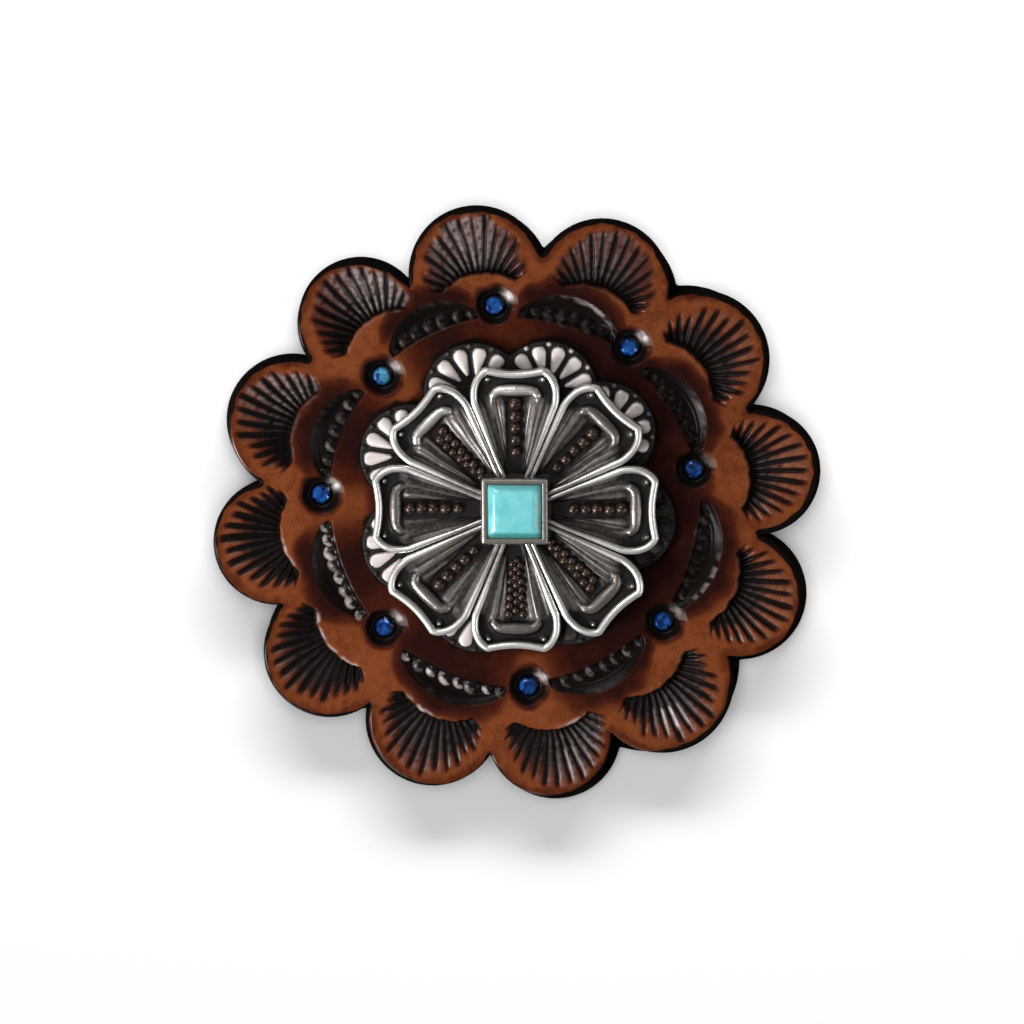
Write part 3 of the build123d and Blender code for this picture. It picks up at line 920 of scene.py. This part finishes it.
flower = {
    "radius": 18.2,
    "halfWidth": 5.55,
    "cornerHalf": 3.5,
    "cornerDrop": 0.35,
    "tipDip": 0.8,
    "wideShare": 0.815,
    "pinchShare": 0.69,
    "neck": 3.3,
    "under": 5.95,
    "floor": 6.85,
    "wireTop": 8.0,
    "wireRadius": 0.46,
    "wireNeckRadius": 0.31,
    "bossRadius": 9.0,
    "bossUnder": 5.35,
    "bezelHalf": 4.15,
    "bezelWall": 0.5,
    "bezelTop": 9.15,
    "stoneSeat": 7.55,
    "postRadius": 5.35,
    "postDepth": 0.8,
    "beadStart": 5.4,
    "beadEnd": 13.2,
    "beadRow": 8.2,
    "beadFull": 13.0,
    "beadLift": 0.20,
}
halfPetal = 22.5
petalSlope = math.tan(math.radians(halfPetal))
petalReach = [1.0, 1.035, 1.0, 1.02, 1.0, 1.045, 1.005, 1.045]

# how much darker the inside of each petal is made
petalDark = [0.30, 0.20, 0.06, 0.10, 0.22, 0.15, 0.12, 0.22]

# how bright the cross bar of each petal is
barBright = [0.80, 0.55, 1.00, 1.00, 0.50, 0.75, 0.40, 0.65]

# columns of beads in each petal: how many side by side, from +X round towards +Y;
# then the pitch, the radius and the pitch sideways for each number of columns
beadColumns = [1, 1, 1, 2, 1, 1, 3, 2]
beadSizes = {1: (1.50, 0.80, 0.0), 2: (1.14, 0.60, 1.0), 3: (1.04, 0.50, 0.85)}


def hermite(start, end, startTangent, endTangent, count):
    # a smooth line between two points with the given headings at its ends
    t = np.linspace(0, 1, count)[:, None]
    length = math.dist(start, end)
    a, b = np.array(start, float), np.array(end, float)
    m, n = np.array(startTangent, float), np.array(endTangent, float)
    m, n = m / np.linalg.norm(m) * length, n / np.linalg.norm(n) * length
    toStart, toEnd = 2 * t**3 - 3 * t**2 + 1, 3 * t**2 - 2 * t**3
    leaving, arriving = t**3 - 2 * t**2 + t, t**3 - t**2
    return toStart * a + leaving * m + toEnd * b + arriving * n


def evenly(path, count):
    # the same open line with evenly spaced points
    length = np.concatenate([[0], np.cumsum(np.linalg.norm(np.diff(path, axis=0), axis=1))])
    stops = np.linspace(0, length[-1], count)
    return np.stack([np.interp(stops, length, path[:, k]) for k in range(path.shape[1])], -1)


def petalHead():
    # the round head of one petal along +X, from one pinch over the dipped tip to the other pinch
    c = flower
    tip = (c["radius"] - c["tipDip"], 0)
    corner = (c["radius"] - c["cornerDrop"], c["cornerHalf"])
    wide = (c["wideShare"] * c["radius"], c["halfWidth"])
    pinchX = c["pinchShare"] * c["radius"]
    pinch = (pinchX, pinchX * petalSlope)
    half = [hermite(pinch, wide, (1, 0.50), (1, -0.05), 16)[:-1]]
    half.append(hermite(wide, corner, (1, -0.05), (0.25, -1), 24)[:-1])
    half.append(hermite(corner, tip, (-0.22, -1), (0, -1), 20)[:-1])
    side = np.concatenate(half)
    return np.concatenate([side, [tip], side[::-1] * [1, -1]])


def petalOutline():
    # the head with the two straight sides that run to the neck
    neck = flower["neck"]
    head = petalHead()
    left = np.linspace((neck, neck * petalSlope), head[0], 40)[:-1]
    return np.concatenate([left, head, left[::-1] * [1, -1]])


def lineDistance(x, y, path):
    # nearest distance to an open line, and how far along it, 0 to 1
    best, along = np.full_like(x, farOff), np.zeros_like(x)
    for k in range(len(path) - 1):
        (ax, ay), (bx, by) = path[k], path[k + 1]
        dx, dy = bx - ax, by - ay
        t = unit(((x - ax) * dx + (y - ay) * dy) / (dx * dx + dy * dy))
        d = np.hypot(x - ax - t * dx, y - ay - t * dy)
        along = np.where(d < best, (k + t) / (len(path) - 1), along)
        best = np.minimum(best, d)
    return best, along


def petalRelief(x, y, number):
    # height above the petal's floor, and how dark the metal is there
    v = np.abs(y)
    fromRim, _ = lineDistance(x, y, petalOutline()[::3])
    bar = [(14.95, 0), (14.95, 1.0), (14.92, 1.8), (14.75, 2.35), (14.3, 2.75)]
    leg = [(14.75, 2.35), (14.3, 2.75), (13.2, 2.9), (10.5, 2.35), (7.5, 1.6), (4.4, 0.85)]
    d, alongBar = lineDistance(x, v, bar)
    barHigh = (0.80 - 0.14 * alongBar) * roundTop(d, 0.90 - 0.22 * alongBar, 0.55)
    d, alongLeg = lineDistance(x, v, leg)
    legHigh = (0.66 - 0.55 * alongLeg) * roundTop(d, 0.62 - 0.36 * alongLeg, 0.8)
    # fine ridges that run to the neck on both sides of the leg
    lane = np.degrees(np.arctan2(v, x)) / halfPetal + 0.012 * wobble(x, y, 4.0, 60 + number)
    source = np.random.default_rng(300 + number)
    count = 23
    lanes = np.arange(count + 1)
    one, other = (np.interp(lane * count, lanes, source.uniform(0, 1, count + 1)) for _ in range(2))
    fine = smooth(0.25, 0.95, np.where(y > 0, one, other)) * (1 + 0.35 * wobble(x, y, 3, number))
    wide = roundTop(lane - 0.79, 0.07) + 0.6 * roundTop(lane - 0.33, 0.06)
    streaks = (0.12 * fine + 0.10 * wide) * smooth(14.4, 12.8, x)
    streaks = streaks * smooth(4.0, 6.0, x) * smooth(0.8, 1.6, v)
    slot = smooth(1.25, 0.95, np.hypot(v, np.maximum(x - 13.1, 0)))
    cove = 0.35 * smooth(1.0, 2.6, v) * smooth(14.6, 13.2, x)
    specks = 0.60 * roundTop(np.hypot(x - 16.30, v - 3.45), 0.50)
    height = np.maximum.reduce([barHigh, legHigh, specks, cove + streaks]) - 0.10 * slot
    trench = smooth(1.95, 1.35, fromRim) * smooth(0.30, 0.05, np.maximum(specks, barHigh))
    trench *= smooth(11.0, 14.5, x)
    bright = 0.90 * barBright[number] * smooth(0.25, 0.60, barHigh)
    fading = unit(0.78 - 0.90 * alongLeg) * (0.5 + 0.5 * barBright[number])
    bright = np.maximum(bright, fading * smooth(0.15, 0.5, legHigh))
    bright = np.maximum(bright, 0.8 * smooth(0.08, 0.35, specks))
    greys = 0.16 * smooth(1.0, 1.8, v) * smooth(15.0, 13.6, x) + 2.6 * streaks
    light = np.maximum(bright, np.clip(greys, 0, 0.60)) * (1 - 0.9 * slot) * (1 - 0.9 * trench)
    return height, unit(1 - light * (1 - petalDark[number]))


def makePetals(silver):
    c = flower
    columns = 101
    head = evenly(petalHead(), columns)
    head[:, 0] -= 0.08
    share = 1 - (1 - np.linspace(0, 1, 91)) ** 1.3  # closer rows towards the tip
    half = c["neck"] * petalSlope - 0.05
    neck = np.linspace((c["neck"], half), (c["neck"], -half), columns)
    grid = neck[None] + (head - neck)[None] * share[:, None, None]
    x, y = grid[..., 0], grid[..., 1]
    wire = evenly(petalOutline(), 190)
    tangent = np.gradient(wire, axis=0)
    tangent /= np.linalg.norm(tangent, axis=1, keepdims=True)
    inward = np.stack([tangent[:, 1], -tangent[:, 0]], -1)
    thin, thick = c["wireNeckRadius"], c["wireRadius"]
    radius = thin + (thick - thin) * smooth(6.0, 13.0, wire[:, 0])
    # the petal's edge and a strip of its underside: how far in, and the level
    under = c["under"]
    edgeSteps = [(0.0, c["wireTop"] - 0.6), (0.0, under + 0.15), (0.15, under), (3.5, under)]
    # the wire's section: a half round on straight sides that go down to the floor
    section = [(-math.cos(a), math.sin(a)) for a in np.linspace(0, math.pi, 13)]
    section = [(-1.0, None), *section, (1.0, None)]
    petals, wires = Sheets("flowerPetals"), Sheets("flowerWires")
    for number, reach in enumerate(petalReach):
        turn = math.radians(45 * number)
        spin = np.array([[math.cos(turn), math.sin(turn)], [-math.sin(turn), math.cos(turn)]])
        stretch = np.array([reach, 1.0])
        height, tarnish = petalRelief(x, y, number)
        top = np.concatenate([(grid * stretch) @ spin, (c["floor"] + 0.05 + height)[..., None]], -1)
        petals.add(top, closed=False, tarnish=tarnish)
        edge = []
        for out, level in edgeSteps:
            inset = 0.04 + out * smooth(5.0, 14.0, wire[:, :1])
            edge.append(atLevel(((wire + inward * inset) * stretch) @ spin, level))
        petals.add(np.stack(edge), closed=False, tarnish=0.72)
        bars, dark = [], []
        for across, up in section:
            flat = ((wire + inward * (radius * (1 + across))[:, None]) * stretch) @ spin
            outer = across < 0
            if up is None:
                level, shade = c["floor"] - 0.1, 0.5 if outer else 0.85
            else:
                level = c["wireTop"] - radius * 0.9 + radius * 0.9 * up
                shade = 0.03 + (0.25 if outer else 0.45) * (1 - up) ** 3
            bars.append(atLevel(flat, level))
            dark.append(np.full(len(wire), shade) + 0.30 * smooth(12.5, 6.0, wire[:, 0]))
        wires.add(np.stack(bars), closed=False, tarnish=unit(np.stack(dark)))
    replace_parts(petals.build(silver, "silver"), "silver_flower")
    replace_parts(wires.build(silver, "silver"), "silver_flower")


def ball(sheet, centre, radius, flat=1.0, **masks):
    theta = np.linspace(0, math.pi, 10)[:, None]
    phi = np.arange(16)[None, :] * 2 * math.pi / 16
    x = centre[0] + radius * np.sin(theta) * np.cos(phi)
    y = centre[1] + radius * np.sin(theta) * np.sin(phi)
    z = centre[2] + radius * flat * np.cos(theta) * np.ones_like(phi)
    sheet.add(np.stack([x, y, z], -1), **masks)


def makeBeads():
    c = flower
    beads = Sheets("flowerBeads")
    source = np.random.default_rng(4)
    for number, reach in enumerate(petalReach):
        columns = beadColumns[number]
        pitch, size, sideways = beadSizes[columns]
        for column in range(columns):
            off = (column - (columns - 1) / 2) * sideways
            for k in range(int(c["beadRow"] / pitch)):
                place = (c["beadEnd"] - pitch * (k + 0.5 * (column % 2))) * (1 + (reach - 1) * 0.6)
                taper = place / c["beadFull"]
                side = off * taper + source.uniform(-0.08, 0.08)
                if place < c["beadStart"]:
                    continue
                u, v = turned(place + source.uniform(-0.08, 0.08), side, -45 * number)
                radius = size * (0.76 + 0.24 * taper) + source.uniform(-0.05, 0.05)
                ball(beads, (u, v, c["floor"] + c["beadLift"]), radius, 0.85)
    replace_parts(beads.build(darkBeads(), "silver"), "silver_flower")


def roundedSquare(half, corner, count=10):
    points = []
    for k, toSide in enumerate(((1, 1), (-1, 1), (-1, -1), (1, -1))):
        arc = np.stack(polar(corner, np.linspace(0, 90, count) + 90 * k), -1)
        points.append(arc + (half - corner) * np.array(toSide))
    return np.concatenate(points)


def makeBezel(silver):
    c = flower
    sheet = Sheets("bezel")
    half, wall, top, seat = c["bezelHalf"], c["bezelWall"], c["bezelTop"], c["stoneSeat"]
    # how far out from the side, the level, and how dark
    profile = [
        (0.25, c["floor"], 0.7),
        (0.04, c["floor"] + 0.5, 0.6),
        (0.0, top - 1.2, 0.55),
        (0.0, top - 0.25, 0.5),
        (-0.08, top - 0.08, 0.42),
        (-0.22, top, 0.42),
        (-0.50, top + 0.02, 0.50),
        (-0.70, top - 0.02, 0.60),
        (-0.77, top - 0.08, 0.8),
        (-wall, top - 0.16, 0.95),
        (-wall, seat, 0.95),
        (-2.0, seat, 0.95),
    ]
    rings, dark = [], []
    for out, level, shade in profile:
        flat = roundedSquare(half + out, max(0.30 + out, 0.08))
        rings.append(atLevel(flat, level))
        dark.append(np.full(len(flat), shade))
    sheet.add(np.stack(rings), tarnish=np.stack(dark))
    # the boss that carries the petals, with its underside
    angles = around(96)
    under, floor, inner = c["bossUnder"], c["floor"] - 0.12, c["bossUnder"] + c["postDepth"]
    boss = [(3.0, floor), (c["bossRadius"], floor), (c["bossRadius"], under)]
    boss += [(c["postRadius"], under), (c["postRadius"], inner), (0.05, inner)]
    sheet.add(np.stack([ring(radius, angles, level) for radius, level in boss]), tarnish=0.88)
    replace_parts(sheet.build(silver, "silver"), "silver_flower")


# half width, corner radius, level and drift towards the top of each ring of the square stone
turquoiseRings = [
    (3.54, 0.45, 7.62, 0.0),
    (3.54, 0.45, 8.85, 0.0),
    (3.35, 0.45, 8.97, 0.0),
    (3.33, 0.46, 9.20, 0.0),
    (3.12, 0.50, 9.40, 0.05),
    (2.86, 0.55, 9.60, 0.12),
    (2.62, 0.55, 9.76, 0.16),
    (2.40, 0.52, 9.86, 0.18),
    (2.12, 0.50, 9.895, 0.18),
    (1.20, 0.40, 9.90, 0.15),
    (0.05, 0.02, 9.90, 0.1),
]


def dress(node, shader):
    for slot in frame["nodes"][node].material_slots:
        slot.material = shader.material


def dressStones():
    sheet = Sheets("turquoiseStone")
    rings = []
    for half, corner, level, drift in turquoiseRings:
        rings.append(atLevel(roundedSquare(half, corner) + [0, drift], level))
    points = np.stack(rings)
    # painted shade along the bottom edge and the right side of the stone
    shaded = smooth(-2.50, -2.85, points[..., 1]) + 0.3 * smooth(2.6, 3.2, points[..., 0])
    sheet.add(points, deep=shaded)
    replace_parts(sheet.build(turquoiseStone(), "turquoise"), "turquoise")
    dress("screw_post", nickelSteel())
    for number, (angle, share) in enumerate(stoneRows, 1):
        centre = (*polar(share * pits["circle"], angle), rosette["topLevel"] - pits["depth"] + 0.6)
        dress(f"rhinestone_{number}", blueStone(number, centre))


studio = {
    "floorTone": 0.9,
    "world": 0.12,
    "aim": (-0.62, -0.85, 4.25),
    "tilt": 10.0,
    "towards": 70.0,
    "distance": 1600.0,
    "pictureWidth": 127.3,
    "floorHalf": 900.0,
    "floorLevel": -0.02,
}

# azimuth, elevation, distance, width, height and watts of each lamp:
# one set for the whole concho, one for its silver and one for the floor
objectLamps = {
    "leftSoftbox": (206, 37, 420, 150, 150, 1.70),
    "upperLeftSoftbox": (125, 50, 460, 220, 220, 0.70),
    "rightFill": (345, 36, 500, 240, 240, 0.40),
}
silverLamps = {
    "silverOverhead": (250, 80, 500, 300, 300, 0.11),
    "silverKey": (222, 44, 450, 90, 90, 0.55),
}
floorLamps = {
    "floorSoftbox": (90, 24, 900, 1040, 160, 12.5),
    "floorOverhead": (90, 88, 900, 900, 900, 5.8),
}


def setScene():
    world = bpy.data.worlds.new("studioWorld")
    bpy.context.scene.world = world
    world.use_nodes = True
    inputs = world.node_tree.nodes["Background"].inputs
    inputs["Color"].default_value = colour(1.0, 1.0, 1.0)
    inputs["Strength"].default_value = studio["world"]
    bpy.context.scene.view_settings.view_transform = "Standard"
    bpy.context.scene.view_settings.look = "None"
    shader = Shader("paleFloor")
    tone = studio["floorTone"]
    shader.set(Base_Color=colour(tone, tone, tone), Roughness=0.9, Specular_IOR_Level=0.0)
    mesh = bpy.data.meshes.new("floor")
    wide, level = studio["floorHalf"] * mm, studio["floorLevel"] * mm
    corners = [(-wide, -wide, level), (wide, -wide, level), (wide, wide, level), (-wide, wide, level)]
    mesh.from_pydata(corners, [], [(0, 1, 2, 3)])
    mesh.materials.append(shader.material)
    floor = addObject("floor", mesh)
    return floor


def addLamp(name, values, receivers):
    azimuth, elevation, distance, width, height, watts = values
    light = bpy.data.lights.new(name, "AREA")
    light.shape, light.energy = "RECTANGLE", watts
    light.size, light.size_y = width * mm, height * mm
    lamp = addObject(name, light)
    flat, high = polar(1.0, elevation)
    place = Vector((*polar(flat, azimuth), high))
    lamp.location = place * distance * mm
    lamp.rotation_mode = "QUATERNION"
    lamp.rotation_quaternion = place.to_track_quat("Z", "Y")
    lamp.visible_camera = False
    lamp.light_linking.receiver_collection = receivers


def addLamps(floor):
    onFloor, onObject = bpy.data.collections.new("litFloor"), bpy.data.collections.new("litConcho")
    onSilver = bpy.data.collections.new("litSilver")
    onFloor.objects.link(floor)
    for piece in bpy.context.scene.objects:
        if piece.type == "MESH" and piece != floor:
            onObject.objects.link(piece)
        if piece.name in ("fanPlate", "flowerPetals", "flowerWires", "bezel", "turquoiseStone"):
            onSilver.objects.link(piece)
    sets = ((objectLamps, onObject), (silverLamps, onSilver), (floorLamps, onFloor))
    for lamps, receivers in sets:
        for name, values in lamps.items():
            addLamp(name, values, receivers)


def addCamera():
    # straight above the aim, then leaning by the tilt towards an angle
    c = studio
    hinge = Vector((*polar(1.0, c["towards"] + 90), 0))
    lean = Matrix.Rotation(math.radians(c["tilt"]), 4, hinge)
    camera = addObject("camera", bpy.data.cameras.new("camera"))
    camera.data.sensor_width = 36.0
    camera.data.lens = 36.0 * c["distance"] / c["pictureWidth"]
    camera.data.clip_start, camera.data.clip_end = 0.05, 20.0
    place = (Vector(c["aim"]) + lean @ Vector((0, 0, c["distance"]))) * mm
    camera.matrix_world = Matrix.Translation(place) @ lean
    bpy.context.scene.camera = camera


print("camera and floor")
floor = setScene()
addCamera()
print("leather")
makeBackLayer()
makeTooledLeather()
print("fan-edged plate")
makeFanPlate()
print("silver flower")
silver = antiqueSilver("flowerSilver", silverFinish)
makePetals(silver)
makeBeads()
makeBezel(silver)
print("stones and post")
dressStones()
print("lamps")
addLamps(floor)
